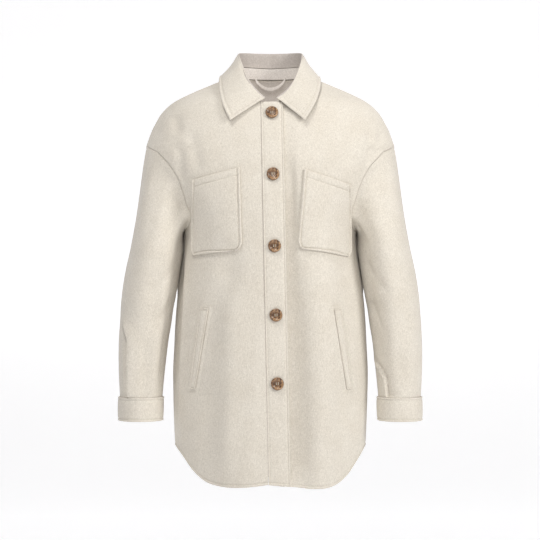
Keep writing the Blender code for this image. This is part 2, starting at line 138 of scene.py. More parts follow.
# Soft folds of the fronts: side, top x and z, bottom x and z, half width, depth inwards.
FOLDS = (
    (1, 42, -250, 58, -745, 20, 9.0),
    (-1, 60, -330, 115, -690, 26, 3.5),
    (-1, 20, -400, 45, -730, 26, -3.5),
    (1, 105, -330, 95, -720, 30, -4.0),
)
# Collar paths from the front end to the back middle: stand top, roll line and outer edge.
STAND_TOP = (
    (24, -81, -34),
    (42, -70, -20),
    (60, -28, 9),
    (64, 6, 22),
    (57, 29, 26),
    (36, 48, 27),
    (0, 56, 26),
)
ROLL_BACK = ((59, 16, 50), (49, 37, 53), (31, 52, 54), (0, 58, 54))
ROLL = {
    -1: (
        (13.5, -95, -45),
        (25, -89, -34),
        (36, -77, -18),
        (45, -58, 2),
        (53, -34, 26),
        (58, -6, 43),
        *ROLL_BACK,
    ),
    1: (
        (14.5, -95, -45),
        (29, -89, -34),
        (41, -77, -17),
        (49, -58, 2),
        (56, -34, 24),
        (59, -6, 41),
        *ROLL_BACK,
    ),
}
OUTER_BACK = ((87, 36, 2), (58, 74, -8), (0, 88, -12))
OUTER = {
    -1: (
        (72, -109, -84),
        (84, -96, -59),
        (93, -62, -26),
        (94, -12, 4),
        *OUTER_BACK,
    ),
    1: (
        (62, -111, -84),
        (78, -98, -57),
        (90, -63, -26),
        (93, -12, 2),
        *OUTER_BACK,
    ),
}
# Patch pocket corners on each side: top inner, top outer, bottom outer, bottom inner.
POCKET = {
    -1: ((54, -169), (140, -190), (142, -326), (49, -317)),
    1: ((60, -172), (145, -199), (146, -328), (48, -314)),
}
WELT = ((111, -421), (126, -421), (147, -567), (137, -567))
# How far outside the welt the stitched frame round it runs, and its groove.
FRAME_REACH = 5.0
FRAME_GROOVE = 5.6

# Creases: start x and z, end x and z, half width, depth inwards (a ridge is negative).
FRONT_CREASES = {
    -1: (
        (172, -72, 166, -104, 9, 3.0),
        (164, -122, 160, -196, 9, 3.4),
        (143, -104, 128, -172, 11, 2.4),
        (205, -90, 206, -108, 6, 2.0),
        (118, -205, 96, -300, 18, -1.2),
        (66, -310, 136, -600, 21, 5.0),
        (68, -390, 80, -720, 24, -6.0),
        (88, -360, 84, -470, 16, -1.6),
        (100, -560, 108, -690, 20, 2.4),
        (153, -340, 167, -600, 4.5, -2.6),
        (163, -330, 176, -570, 6, 6.0),
    ),
    1: (
        (180, -100, 176, -172, 8, 3.2),
        (203, -100, 190, -150, 7, 2.6),
        (150, -96, 138, -160, 12, 2.2),
        (34, -160, 44, -300, 10, 3.0),
        (29, -170, 39, -760, 20, 10.5),
        (94, -280, 104, -720, 24, -6.5),
        (128, -335, 150, -440, 13, 1.8),
        (125, -560, 120, -700, 18, 2.6),
    ),
}
BACK_CREASES = (
    (-155.5, -262, -167, -400, 5.5, -7.0),
    (155.5, -262, 167, -400, 5.5, -7.0),
    (-150, -150, -110, -330, 16, 3.0),
    (148, -140, 118, -300, 15, 3.2),
    (-95, -380, -120, -710, 26, 6.0),
    (88, -420, 112, -730, 28, 6.4),
    (-20, -450, -32, -740, 30, -5.0),
    (40, -90, 90, -230, 24, 2.4),
    (-128, -262, -70, -300, 10, 2.2),
)
# Creases of a sleeve: start angle and z, end angle and z, half width, depth.
# Angle 0 is outermost, -90 the front.
SLEEVE_CREASES = {
    -1: (
        (-124, -300, -130, -560, 12, -3.5),
        (-154, -280, -156, -570, 12, 5.5),
        (-150, -330, -96, -400, 9, 2.8),
        (-168, -400, -110, -452, 8, 2.4),
        (-60, -170, -74, -300, 15, 2.8),
        (-100, -480, -104, -592, 10, 2.6),
        (120, -340, 160, -400, 10, 2.6),
        (60, -420, 75, -560, 14, 3.4),
        (140, -450, 118, -520, 9, 2.4),
    ),
    1: (
        (-94, -250, -102, -500, 18, -4.5),
        (-145, -260, -150, -500, 16, 7.0),
        (-76, -430, -92, -560, 12, 3.0),
        (-150, -340, -100, -395, 9, 2.6),
        (-165, -410, -120, -465, 8, 2.4),
        (-66, -160, -82, -290, 14, 2.8),
        (125, -350, 158, -410, 10, 2.6),
        (66, -400, 80, -540, 14, 3.2),
    ),
}
# Sharp tuck of each sleeve: heights and angles along its lip.
TUCK_LIP = {
    -1: ((-424, -14), (-440, -29), (-458, -44), (-482, -57), (-540, -58), (-592, -56)),
    1: ((-500, -186), (-519, -168), (-534, -146), (-548, -132), (-592, -129)),
}
# Each tuck's lip height and spread, then the depth and reach of its low side.
TUCK_FORM = {-1: (5.5, 15.0, 7.5, 11.0), 1: (2.5, 11.0, 7.0, 13.0)}
SLOPES = {}


def smooth(value, table, column=1):
    """Smooth value of one column, with the table's first column as its variable."""
    known = SLOPES.get((id(table), column))
    if known is None:
        turn = -1.0 if table[0][0] > table[-1][0] else 1.0
        keys = np.array([turn * row[0] for row in table])
        data = np.array([row[column] for row in table], float)
        known = (turn, keys, data, np.gradient(data, keys), table)
        SLOPES[(id(table), column)] = known
    turn, keys, data, slopes, _ = known
    value = min(max(turn * value, keys[0]), keys[-1])
    i = min(max(int(np.searchsorted(keys, value)) - 1, 0), len(keys) - 2)
    step = keys[i + 1] - keys[i]
    t = (value - keys[i]) / step
    return float(
        data[i] * (1 + 2 * t) * (1 - t) ** 2
        + step * slopes[i] * t * (1 - t) ** 2
        + data[i + 1] * t * t * (3 - 2 * t)
        + step * slopes[i + 1] * t * t * (t - 1)
    )


def curve_through(points):
    """Function that gives the point at share t of a smooth curve through these points."""
    points = np.array(points, float)
    lengths = np.concatenate([[0], np.cumsum(np.linalg.norm(np.diff(points, axis=0), axis=1))])
    rows = [(length, *point) for length, point in zip(lengths / lengths[-1], points)]
    return lambda t: np.array([smooth(t, rows, axis) for axis in (1, 2, 3)])


def smoothstep(t):
    t = np.clip(t, 0.0, 1.0)
    return t * t * (3 - 2 * t)


def centre_x(z):
    """Middle of the closing, which drifts to the wearer's left towards the hem."""
    top, low = BUTTON_HEIGHTS[0], BUTTON_HEIGHTS[-1]
    return CLOSING_X + CLOSING_DRIFT * (top - z) / (top - low)


def fold_depth(side, x, z):
    """Depth inwards of one side's folds at a place."""
    depth = 0.0
    for fold_side, x0, z0, x1, z1, width, inwards in FOLDS:
        if fold_side != side:
            continue
        t = (z - z0) / (z1 - z0)
        fade = smoothstep(2.2 * t)
        middle = x0 + (x1 - x0) * max(t, 0)
        depth += inwards * fade * math.exp(-(((x - middle) / width) ** 2))
    return depth


def front_point(side, angle, z):
    """Point of the front's outer face on the side's own x, before it is mirrored."""
    half, depth = smooth(z, BODY, 1), smooth(z, BODY, 2)
    x = half * math.sin(angle)
    y = -depth * math.cos(angle) + fold_depth(side, x, z) * max(math.cos(angle), 0)
    return np.array([x, y, z])


def front_y(x, z):
    """The plain front's y, without its folds."""
    return -smooth(z, BODY, 2) * math.sqrt(1 - (x / smooth(z, BODY, 1)) ** 2)


def back_point(angle, z):
    half, depth = smooth(z, BODY, 1), smooth(z, BODY, 3)
    return np.array([half * math.sin(angle), -depth * math.cos(angle), z])


def on_front(side, x, z, out=0.0):
    """Point of the front above side x, moved out along the surface's normal, and that normal."""
    def surface(x_at, z_at):
        half = smooth(z_at, BODY, 1)
        return front_point(side, math.asin(max(min(x_at / half, 1), -1)), z_at)

    here = surface(x, z)
    normal = np.cross(
        surface(x, z + 2) - surface(x, z - 2), surface(x + 1, z) - surface(x - 1, z)
    )
    normal /= np.linalg.norm(normal)
    normal = normal if normal[1] < 0 else -normal
    here = here + normal * (out - creases_at(FRONT_CREASES[side], x, z))
    return here, normal


def creases_at(creases, x, z):
    """Depth inwards of these creases at a place; works on numbers and on arrays."""
    depth = 0.0
    for x0, z0, x1, z1, width, inwards in creases:
        along_x, along_z = x1 - x0, z1 - z0
        length = along_x * along_x + along_z * along_z
        t = ((x - x0) * along_x + (z - z0) * along_z) / length
        across = ((x - x0) * along_z - (z - z0) * along_x) / math.sqrt(length)
        window = smoothstep(t / 0.3 + 0.4) * smoothstep((1 - t) / 0.3 + 0.4)
        depth = depth + inwards * window * np.exp(-((across / width) ** 2))
    return depth


def tuck_at(side, degrees, z):
    """Depth inwards of a sleeve's tuck: a raised lip, and a sharp drop on its outer side."""
    heights, angles = zip(*TUCK_LIP[side])
    rise, spread, drop, reach = TUCK_FORM[side]
    away = degrees - np.interp(-z, -np.array(heights), angles)
    away = ((away + 180) % 360 - 180) * SLEEVE_ARC
    below = smoothstep(away / 1.8 + 0.5)
    low = drop * np.exp(-np.maximum(away, 0) / reach)
    lip = -rise * np.exp(-((np.minimum(away, 0) / spread) ** 2))
    return smoothstep((heights[0] - z) / 34) * (below * low + (1 - below) * lip)


# Heights of the rows along the shoulder seam, then along the armhole.
SEAM_LEVELS = (-2, -6, -13, -28, -44, -51, -64, -82, -104, -124)
ARMHOLE_LEVELS = (-135, -148, -166, -185, -208, -231, -252, -268, -278, -283)
ROW_STEP = 4.0
FRONT_COLUMNS = 104
# Distances of the last rows from the hem, and the height from the armpits to the hem.
HEM_DISTANCES = (0, 0.8, 1.8, 3.0, 4.2, 5.0, 5.8, 7.0, 9.0, 12.0)
HEM_DEPTH = 455.0
# How the back turns over the shoulders, down to its first plain row.
NECK_COLUMNS = 18
OVER_ROWS = 20
OVER_REACH = 26.0
OVER_FALL = 0.42
OVER_TIP = 0.45
BACK_START_Z = -130.0
BACK_START_ANGLE = 99.0
NAPE_REACH = np.array([0, 14, -10])
# How a sleeve leaves its armhole; the arc is in millimetres a degree.
CAP_ROWS = 46
TIP_ANGLE = 0.22
SLEEVE_ARC = 0.785
LEAST_SPACING = 2.4


def finer(values, step):
    """The same run of values with more between them, no further apart than the step."""
    result = [float(values[0])]
    for low, high in zip(values, values[1:]):
        count = max(1, math.ceil(abs(high - low) / step))
        result += [low + (high - low) * i / count for i in range(1, count + 1)]
    return result


SEAM_ROWS = finer(SEAM_LEVELS, ROW_STEP)
ARMHOLE_ROWS = finer((SEAM_LEVELS[-1],) + ARMHOLE_LEVELS, ROW_STEP)[1:]
LOWER_SHARES = [i * ROW_STEP / HEM_DEPTH for i in range(1, int((HEM_DEPTH - 14) / ROW_STEP))]
LOWER_SHARES += [1 - distance / HEM_DEPTH for distance in reversed(HEM_DISTANCES)]


def front_edge_x(side, z):
    """Side x where a front panel's inner edge runs: placket seam, or the underlap's edge."""
    edge = PLACKET_HALF - centre_x(z) if side < 0 else centre_x(z) - PLACKET_HALF + 2
    return max(edge, smooth(z, NECK)) if z > NECK_FRONT_Z else edge


def front_row(side, level, edge_angle, hem_share=None):
    """One row of a front, level, or else at a share of the way from the armpit to the hem."""
    row = []
    for i in range(FRONT_COLUMNS + 1):
        share = i / FRONT_COLUMNS
        z = level
        if hem_share is not None:
            hem = smooth(math.degrees(edge_angle) * share, HEM_FRONT[side])
            z = ARMPIT_Z + (hem - ARMPIT_Z) * hem_share
        inner = math.asin(front_edge_x(side, z) / smooth(z, BODY, 1))
        point = front_point(side, inner + (edge_angle - inner) * share, z)
        if side > 0:
            cover = smoothstep((centre_x(z) + UNDERLAP_REACH - point[0]) / UNDERLAP_EASE)
            point[1] += UNDERLAP_DROP * cover * smoothstep((-40 - z) / 10)
        row.append(point)
    return row


def front_grid(side):
    """Rows of a front from its shoulder seam down to the hem, each from the closing outwards."""
    levels = SEAM_ROWS + ARMHOLE_ROWS
    rows = [front_row(side, z, math.radians(smooth(z, PANEL_EDGE))) for z in levels]
    rows += [front_row(side, None, math.pi / 2, share) for share in LOWER_SHARES]
    return np.array(rows)


def bezier(p0, p1, p2, p3, t):
    return (1 - t) ** 3 * p0 + 3 * t * (1 - t) ** 2 * p1 + 3 * t * t * (1 - t) * p2 + t ** 3 * p3


def leaving(points, inner, closed=True):
    """Unit directions in which cloth leaves an edge, square to it and in line with the panel."""
    points, inner = np.array(points), np.array(inner)
    if closed:
        along_edge = np.roll(points, -1, axis=0) - np.roll(points, 1, axis=0)
    else:
        along_edge = np.gradient(points, axis=0)
    along_edge /= np.linalg.norm(along_edge, axis=1, keepdims=True)
    leave = points - inner
    leave -= (leave * along_edge).sum(axis=1, keepdims=True) * along_edge
    return leave / np.linalg.norm(leave, axis=1, keepdims=True)


def back_half(front):
    """Rows of the back's +X half, from the middle outwards."""
    neck_curve = curve_through(NECK_BACK)
    neck = [neck_curve(1 - i / NECK_COLUMNS) for i in range(NECK_COLUMNS)]
    seam = range(len(SEAM_ROWS))
    top = neck + [front[i][-1] for i in seam]
    over = leaving([front[i][-1] for i in seam], [front[i][-2] for i in seam], closed=False)
    columns = len(top) - 1
    edges = [(z, 180 - smooth(z, PANEL_EDGE)) for z in ARMHOLE_ROWS if z < BACK_START_Z]
    span = math.radians(BACK_START_ANGLE) - math.pi
    start = [back_point(math.pi + span * i / columns, BACK_START_Z) for i in range(columns + 1)]
    rows = []
    for r in range(OVER_ROWS):
        t = r / OVER_ROWS
        row = []
        for i, (upper, lower) in enumerate(zip(top, start)):
            share = smoothstep((i - NECK_COLUMNS / 3) / (NECK_COLUMNS * 2 / 3))
            away = OVER_REACH * share * over[max(i - NECK_COLUMNS, 0)]
            end = smoothstep((columns - i) / 6)
            reach = ((1 - share) * NAPE_REACH + away) * (OVER_TIP + (1 - OVER_TIP) * end)
            fall = OVER_FALL * (upper[2] - lower[2]) * end
            above = lower + np.array([0, -2.0 * end, fall])
            row.append(bezier(upper, upper + reach, above, lower, t))
        rows.append(row)
    rows.append(start)
    for z, edge in edges:
        span = math.radians(edge) - math.pi
        rows.append([back_point(math.pi + span * i / columns, z) for i in range(columns + 1)])
    for share in LOWER_SHARES:
        row = []
        for i in range(columns + 1):
            angle = math.pi - math.pi / 2 * i / columns
            hem = smooth(math.degrees(angle), HEM_BACK)
            row.append(back_point(angle, ARMPIT_Z + (hem - ARMPIT_Z) * share))
        rows.append(row)
    return np.array(rows)


def sleeve_ring(z, angles, table):
    """Level ring of a sleeve or a cuff."""
    inner, outer, middle_y, depth = [smooth(z, table, column) for column in (1, 2, 3, 4)]
    middle, half = (inner + outer) / 2, (outer - inner) / 2
    ring = [(middle + half * math.cos(a), middle_y + depth * math.sin(a), z) for a in angles]
    return np.array(ring)


def sleeve_grid(front, back):
    """Sleeve from the armhole, tip first and then down the front, to the cuff, and its angles."""
    seam_end = len(SEAM_ROWS) - 1
    armhole_end = seam_end + len(ARMHOLE_ROWS)
    points = [front[i][-1] for i in range(seam_end, armhole_end + 1)]
    inner = [front[i][-2] for i in range(seam_end, armhole_end + 1)]
    last = OVER_ROWS + len([z for z in ARMHOLE_ROWS if z < BACK_START_Z])
    points += [back[i][-1] for i in range(last - 1, 0, -1)]
    inner += [back[i][-2] for i in range(last - 1, 0, -1)]
    kept = [0]
    for i, point in enumerate(points):
        if min(math.dist(point, points[kept[-1]]), math.dist(point, points[0])) > LEAST_SPACING:
            kept.append(i)
    points, inner = np.array(points)[kept], np.array(inner)[kept]
    leave = leaving(points, inner)
    steps = np.linalg.norm(np.roll(points, -1, axis=0) - points, axis=1)
    reached = np.concatenate([[0], np.cumsum(steps)])
    knots = (0, reached[len(ARMHOLE_ROWS)], reached[-1])
    angles = -np.interp(reached[:-1], knots, (TIP_ANGLE, math.pi, 2 * math.pi + TIP_ANGLE))
    first = sleeve_ring(SLEEVE[0][0], angles, SLEEVE)
    start = points + leave * SEAM_GAP
    turn = leave.copy()
    for _ in range(10):
        turn = (np.roll(turn, 1, axis=0) + 2 * turn + np.roll(turn, -1, axis=0)) / 4
    fall = np.maximum(points[:, 2] - SLEEVE[0][0], 20)
    slope = np.stack([-0.1 - 0.1 * np.cos(angles), 0 * angles, 0 * angles + 1], axis=1)
    reach = turn * (6 + 0.13 * fall)[:, None]
    lift = 0.45 * fall[:, None] * slope
    ends = (start, start + reach, first + lift, first)
    rows = [bezier(*ends, r / CAP_ROWS) for r in range(CAP_ROWS)]
    levels = finer((SLEEVE[0][0], -575, -583.5), ROW_STEP)
    rows += [sleeve_ring(z, angles, SLEEVE) for z in levels]
    return np.array(rows), angles


def finer_ring(grid, angles):
    """A closed grid with a further column, on a smooth curve, between each two of its columns."""
    behind, ahead, beyond = [np.roll(grid, turn, axis=1) for turn in (1, -1, -2)]
    middle = (9 * (grid + ahead) - behind - beyond) / 16
    step = (np.roll(angles, -1) - angles + math.pi) % (2 * math.pi) - math.pi
    fine = np.stack([grid, middle], axis=2).reshape(len(grid), -1, 3)
    return fine, np.stack([angles, angles + step / 2], axis=1).ravel()


def outward_normals(grid, closed=False):
    """Unit normals of a grid of points; the caller turns them outwards."""
    if closed:
        around = (np.roll(grid, -1, axis=1) - np.roll(grid, 1, axis=1)) / 2
    else:
        around = np.gradient(grid, axis=1)
    normals = np.cross(np.gradient(grid, axis=0), around)
    return normals / np.maximum(np.linalg.norm(normals, axis=-1, keepdims=True), 1e-9)


def from_edge(grid, *edges):
    """Distance of each point from the nearest of these ends of its own row or column."""
    ends = {"left": grid[:, :1], "right": grid[:, -1:], "top": grid[:1], "bottom": grid[-1:]}
    return np.minimum.reduce([np.linalg.norm(grid - ends[edge], axis=-1) for edge in edges])


def dip(distance, width, depth):
    """Depth of a soft trough at this distance from its middle."""
    return depth * np.exp(-((distance / width) ** 2))


def rolled_edge(distance, groove_at=5.0, strength=1.0):
    """Depth inwards near a turned and topstitched edge: rounded, then full, then a sewn groove."""
    rounded = 0.9 * np.clip(1 - distance / 1.6, 0, 1) ** 2
    full = -0.5 * np.exp(-(((distance - groove_at * 0.5) / (groove_at * 0.35)) ** 2))
    groove = 0.9 * np.exp(-(((distance - groove_at) / 1.3) ** 2))
    return rounded + strength * (full + groove)


def mirrored(grid):
    return grid * np.array([-1.0, 1.0, 1.0])


def on_side(side, grid):
    """The grid of a side's own x, mirrored to the wearer's right where it is on that side."""
    return mirrored(grid) if side < 0 else grid


def node_of(kind):
    """Short way to add a shader node to a material's tree."""
    def add(tree, **settings):
        made = tree.nodes.new(kind)
        for name, value in settings.items():
            if hasattr(made, name):
                setattr(made, name, value)
            else:
                set_inputs(made, **{name: value})
        return made
    return add


noise_node = node_of("ShaderNodeTexNoise")
mapping_node = node_of("ShaderNodeMapping")
bump_node = node_of("ShaderNodeBump")
ramp_node = node_of("ShaderNodeValToRGB")
mix_node = node_of("ShaderNodeMix")


def set_inputs(node, **values):
    for name, value in values.items():
        node.inputs[name.replace("_", " ")].default_value = value


def new_material(name):
    made = bpy.data.materials.new(name)
    made.use_nodes = True
    return made, made.node_tree, made.node_tree.nodes["Principled BSDF"]


def noise_at(tree, vector, scale, detail, **settings):
    made = noise_node(tree, Scale=scale, Detail=detail, **settings)
    tree.links.new(vector, made.inputs["Vector"])
    return made.outputs["Fac"]


def ramp_of(tree, value, *stops):
    """Colour ramp of a value through these (position, colour) stops."""
    ramp = ramp_node(tree)
    elements = ramp.color_ramp.elements
    elements[0].position, elements[1].position = stops[0][0], stops[-1][0]
    elements[0].color, elements[1].color = (*stops[0][1], 1), (*stops[-1][1], 1)
    for position, colour in stops[1:-1]:
        elements.new(position).color = (*colour, 1)
    tree.links.new(value, ramp.inputs["Fac"])
    return ramp.outputs["Color"]


def cloth_material(name, colour, painted_glow=0.0):
    """Felted wool blend: heathered colour, faint upright threads, short fibre bump, soft sheen,
    and an optional glow of its own that is painted light.
    """
    made, tree, shader = new_material(name)
    place = tree.nodes.new("ShaderNodeTexCoord").outputs["Object"]
    threads = mapping_node(tree, Scale=(1300, 1300, 150))
    tree.links.new(place, threads.inputs["Vector"])
    streak = noise_at(tree, threads.outputs["Vector"], 1.0, 3.0, Roughness=0.6)
    heather = noise_at(tree, place, 620.0, 5.0, Roughness=0.7)
    cloud = noise_at(tree, place, 26.0, 3.0, Roughness=0.5)
    speckle = noise_at(tree, place, 330.0, 4.0, Roughness=0.75)
    layers = (
        (streak, 0.88, 1.08),
        (heather, 0.85, 1.11),
        (speckle, 0.90, 1.07),
        (cloud, 0.975, 1.02),
    )
    previous = None
    for source, low, high in layers:
        stops = ((0.3, (low, low * 0.99, low * 0.975)), (0.7, (high, high, high)))
        mix = mix_node(tree, data_type="RGBA", blend_type="MULTIPLY")
        mix.inputs["Factor"].default_value = 1.0
        if previous is None:
            mix.inputs[6].default_value = (*colour, 1)
        else:
            tree.links.new(previous, mix.inputs[6])
        tree.links.new(ramp_of(tree, source, *stops), mix.inputs[7])
        previous = mix.outputs[2]
    tree.links.new(previous, shader.inputs["Base Color"])
    fibre = bump_node(tree, Strength=0.35, Distance=0.0006)
    tree.links.new(heather, fibre.inputs["Height"])
    ribs = bump_node(tree, Strength=0.25, Distance=0.0005)
    tree.links.new(streak, ribs.inputs["Height"])
    tree.links.new(fibre.outputs["Normal"], ribs.inputs["Normal"])
    tree.links.new(ribs.outputs["Normal"], shader.inputs["Normal"])
    # The cloth's colour also glows at the given strength: painted light, since the cloth is no
    # lamp.
    tree.links.new(previous, shader.inputs["Emission Color"])
    set_inputs(shader, Emission_Strength=painted_glow, Roughness=0.93, Specular_IOR_Level=0.2)
    set_inputs(shader, Sheen_Weight=0.22, Sheen_Roughness=0.6)
    return made


def thread_material():
    made, tree, shader = new_material("sewing_thread")
    place = tree.nodes.new("ShaderNodeTexCoord").outputs["Object"]
    twist = noise_at(tree, place, 2200.0, 2.0)
    tint = ramp_of(tree, twist, (0.0, (0.50, 0.45, 0.36)), (1.0, (0.66, 0.61, 0.51)))
    tree.links.new(tint, shader.inputs["Base Color"])
    set_inputs(shader, Roughness=0.6)
    return made


def horn_material():
    """Mottled brown horn look with streaks and a polished face."""
    made, tree, shader = new_material("horn_look_resin")
    place = tree.nodes.new("ShaderNodeTexCoord").outputs["Object"]
    stretch = mapping_node(tree, Scale=(1.0, 1.0, 2.4), Rotation=(0.3, 0.5, 0.2))
    tree.links.new(place, stretch.inputs["Vector"])
    vector = stretch.outputs["Vector"]
    mottle = noise_at(tree, vector, 150.0, 4.0, Roughness=0.6, Distortion=1.4)
    dark, brown, pale = (0.045, 0.022, 0.012), (0.19, 0.10, 0.048), (0.45, 0.27, 0.13)
    tint = ramp_of(tree, mottle, (0.36, dark), (0.5, brown), (0.66, pale))
    tree.links.new(tint, shader.inputs["Base Color"])
    set_inputs(shader, Roughness=0.34, Coat_Weight=0.12)
    return made


WOOL = cloth_material("wool_face", (0.655, 0.62, 0.555))
# Inside cloth, painted lighter than the face and given a glow: painted light on the inner faces
# seen through the neck.
WOOL_INSIDE_PAINTED_LIGHT = cloth_material("wool_inside_painted_light", (0.71, 0.675, 0.645), 0.16)
# Darker copy of the cloth for the collar's inner faces: painted shade, with a faint glow that is
# painted light.
WOOL_COLLAR_PAINTED_SHADE = cloth_material("wool_collar_inside_painted_shade", (0.47, 0.435, 0.41), 0.10)
THREAD = thread_material()
HORN = horn_material()


# Least width of a cut, in metres, that a sheet's row may state.
LEAST_CUT = 0.0101


def linked(name, data):
    made = bpy.data.objects.new(name, data)
    bpy.context.scene.collection.objects.link(made)
    return made


def mesh_of(name, points, edges, faces):
    made = bpy.data.meshes.new(name)
    made.from_pydata(points, edges, faces)
    return made


def grid_mesh(name, grid, flip=False, closed=False):
    """Mesh of quads over a grid of points in millimetres."""
    rows, columns = grid.shape[:2]
    row_starts = np.arange(rows - 1)[:, None] * columns
    across = np.arange(columns if closed else columns - 1)[None, :]
    first, beside = (row_starts + across).ravel(), (row_starts + (across + 1) % columns).ravel()
    faces = np.stack([first, beside, beside + columns, first + columns], axis=1)
    faces = faces[:, ::-1] if flip else faces
    return mesh_of(name, (grid.reshape(-1, 3) * MM).tolist(), [], faces.tolist())


def cut_size(grid, closed=False):
    """Width, length and area in metres of the flat cut that this shell was sewn from."""
    ring = np.concatenate([grid, grid[:, :1]], axis=1) if closed else grid
    width = np.linalg.norm(np.diff(ring, axis=1), axis=-1).sum(axis=1).max() * MM
    length = np.linalg.norm(np.diff(ring, axis=0), axis=-1).sum(axis=0).max() * MM
    across, down = ring[:-1, 1:] - ring[:-1, :-1], ring[1:, :-1] - ring[:-1, :-1]
    across_below, up = ring[1:, :-1] - ring[1:, 1:], ring[:-1, 1:] - ring[1:, 1:]
    halves = (np.cross(across, down), np.cross(across_below, up))
    area = sum(np.linalg.norm(half, axis=-1).sum() for half in halves) / 2 * MM * MM
    return round(width + 0.001, 3), round(length + 0.001, 3), round(area, 4)


def add_shell(
    node, grid, wall, flip=False, closed=False, held="draped", rests_on=(), inside=None, first=0
):
    """Cloth shell of a node, its wall on the inner side in the inside cloth, which is painted
    light unless another painted cloth is given; the first faces may show its inside.
    """
    name = f"{node}_cloth"
    piece = linked(name, grid_mesh(name, grid, flip, closed))
    piece.data.materials.append(WOOL)
    # The wall takes the inside cloth: painted light, or the collar's painted shade where that is
    # given.
    piece.data.materials.append(inside or WOOL_INSIDE_PAINTED_LIGHT)
    wall_maker = piece.modifiers.new("wall", "SOLIDIFY")
    wall_maker.thickness = wall * MM
    wall_maker.offset = -1
    wall_maker.thickness_clamp = 0
    wall_maker.material_offset = 1
    graph = bpy.context.evaluated_depsgraph_get()
    solid = bpy.data.meshes.new_from_object(piece.evaluated_get(graph))
    piece.modifiers.clear()
    piece.data = solid
    for polygon in solid.polygons[:first]:
        polygon.material_index = 1
    solid.shade_smooth()
    solid.set_sharp_from_angle(angle=math.radians(55))
    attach(piece, "root")
    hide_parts(node)
    width, length, area = cut_size(grid, closed)
    flat = (max(width, LEAST_CUT), max(length, LEAST_CUT))
    area = min(area, flat[0] * flat[1])


# One stitch: two points on its axis and four round its middle.
SPINDLE = ((0, 0, -0.5), (1, 0, 0), (0, 1, 0), (-1, 0, 0), (0, -1, 0), (0, 0, 0.5))
SPINDLE_FACES = [(0, (i + 1) % 4 + 1, i + 1) for i in range(4)]
SPINDLE_FACES += [(5, i + 1, (i + 1) % 4 + 1) for i in range(4)]
STITCH_PITCH = 3.6
STITCH_LENGTH = 2.9
STITCH_HALF = 0.42


def resampled(points, normals, pitch):
    """Places and directions every pitch along a line, with the surface's normals."""
    points, normals = np.array(points, float), np.array(normals, float)
    lengths = np.concatenate([[0], np.cumsum(np.linalg.norm(np.diff(points, axis=0), axis=1))])
    at = np.arange(pitch / 2, lengths[-1], pitch)

    def along(values, shift=0.0):
        return np.stack([np.interp(at + shift, lengths, values[:, i]) for i in range(3)], axis=1)

    def unit(vectors):
        return vectors / np.maximum(np.linalg.norm(vectors, axis=1, keepdims=True), 1e-9)

    way = unit(along(points, 0.8) - along(points, -0.8))
    up = along(normals)
    return along(points), way, unit(up - (up * way).sum(axis=1, keepdims=True) * way)


def add_stitches(
    name, lines, pitch=STITCH_PITCH, length=STITCH_LENGTH, half=STITCH_HALF, turned=False
):
    """Separate thread stitches along lines of (points, normals), lying in the cloth's surface."""
    points, faces = [], []
    for line_points, line_normals in lines:
        for here, way, up in zip(*resampled(line_points, line_normals, pitch)):
            side = np.cross(up, way)
            way, side = (side, way) if turned else (way, side)
            base = len(points)
            for x, y, z in SPINDLE:
                corner = here + side * x * half + up * y * half * 0.7 + way * z * length
                points.append(tuple(corner * MM))
            faces += [tuple(base + i for i in face) for face in SPINDLE_FACES]
    piece = linked(name, mesh_of(name, points, [], faces))
    piece.data.shade_smooth()
    piece.data.materials.append(THREAD)
    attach(piece, "root")


def whole(half):
    """Both sides of a grid whose first column lies on the middle plane."""
    return np.concatenate([mirrored(half)[:, :0:-1], half], axis=1)


def outside_quad(corners, x, z):
    """Distance outside a convex four-cornered outline, negative inside it."""
    corners = [np.array(corner, float) for corner in corners]
    centre = sum(corners) / 4
    distance = None
    for start, end in zip(corners, corners[1:] + corners[:1]):
        way = (end - start) / np.linalg.norm(end - start)
        normal = np.array([way[1], -way[0]])
        normal = normal if (start - centre) @ normal > 0 else -normal
        here = (x - start[0]) * normal[0] + (z - start[1]) * normal[1]
        distance = here if distance is None else np.maximum(distance, here)
    return distance


def lines_on(side, grid, normals, *picks):
    """The picked lines of a side's grid, as points and normals on that side."""
    return [(on_side(side, grid[pick]), on_side(side, normals[pick])) for pick in picks]


def add_sewn(side, node, grid, normals, depth, picks, wall, flip=False, more=(), **seat):
    """Shell with its form pressed in to these depths, and stitches along its picked lines."""
    shaped = grid - normals * depth[..., None]
    add_shell(node, on_side(side, shaped), wall, flip, **seat)
    lines = lines_on(side, shaped, normals, *picks) + list(more)
    if lines:
        add_stitches(f"{node}_sewing", lines)
    return shaped


def welt_frame(side):
    """Points and normals of the stitched frame round a welt."""
    corners = np.array(WELT, float)
    centre = corners.sum(axis=0) / 4
    ring = []
    for t in np.linspace(0, 4, 81):
        first, second = corners[int(t) % 4], corners[(int(t) + 1) % 4]
        flat = first + (second - first) * (t % 1)
        reach = np.minimum(np.abs((flat - centre) / (corners[0] - centre)), 1)
        flat = flat + np.sign(flat - centre) * FRAME_REACH * reach
        ring.append(on_front(side, flat[0], flat[1], -0.35))
    points, normals = zip(*ring)
    return np.array(points), np.array(normals)


def add_front(side, word, grid):
    normals = outward_normals(grid)
    seam, hem = from_edge(grid, "right"), from_edge(grid, "bottom")
    x, z = grid[..., 0], grid[..., 2]
    depth = creases_at(FRONT_CREASES[side], x, z) * smoothstep(seam / 12)
    depth += dip(seam, 2.6, np.where(z > ARMPIT_Z, 1.5, 0.6)) + rolled_edge(hem)
    frame_line = outside_quad(WELT, x, z)
    raised = 0.7 * smoothstep(1 - (frame_line - 1) / 5) * (frame_line > 0)
    depth += dip(frame_line - FRAME_GROOVE, 1.5, 0.9) - raised
    if side > 0:
        depth *= smoothstep((x - centre_x(z) - PLACKET_HALF + 14) / 6)
    frame_lines = lines_on(side, *welt_frame(side), np.s_[:])
    node = f"front_{word}"
    add_sewn(side, node, grid, normals, depth, [-6], CLOTH, side > 0, frame_lines)


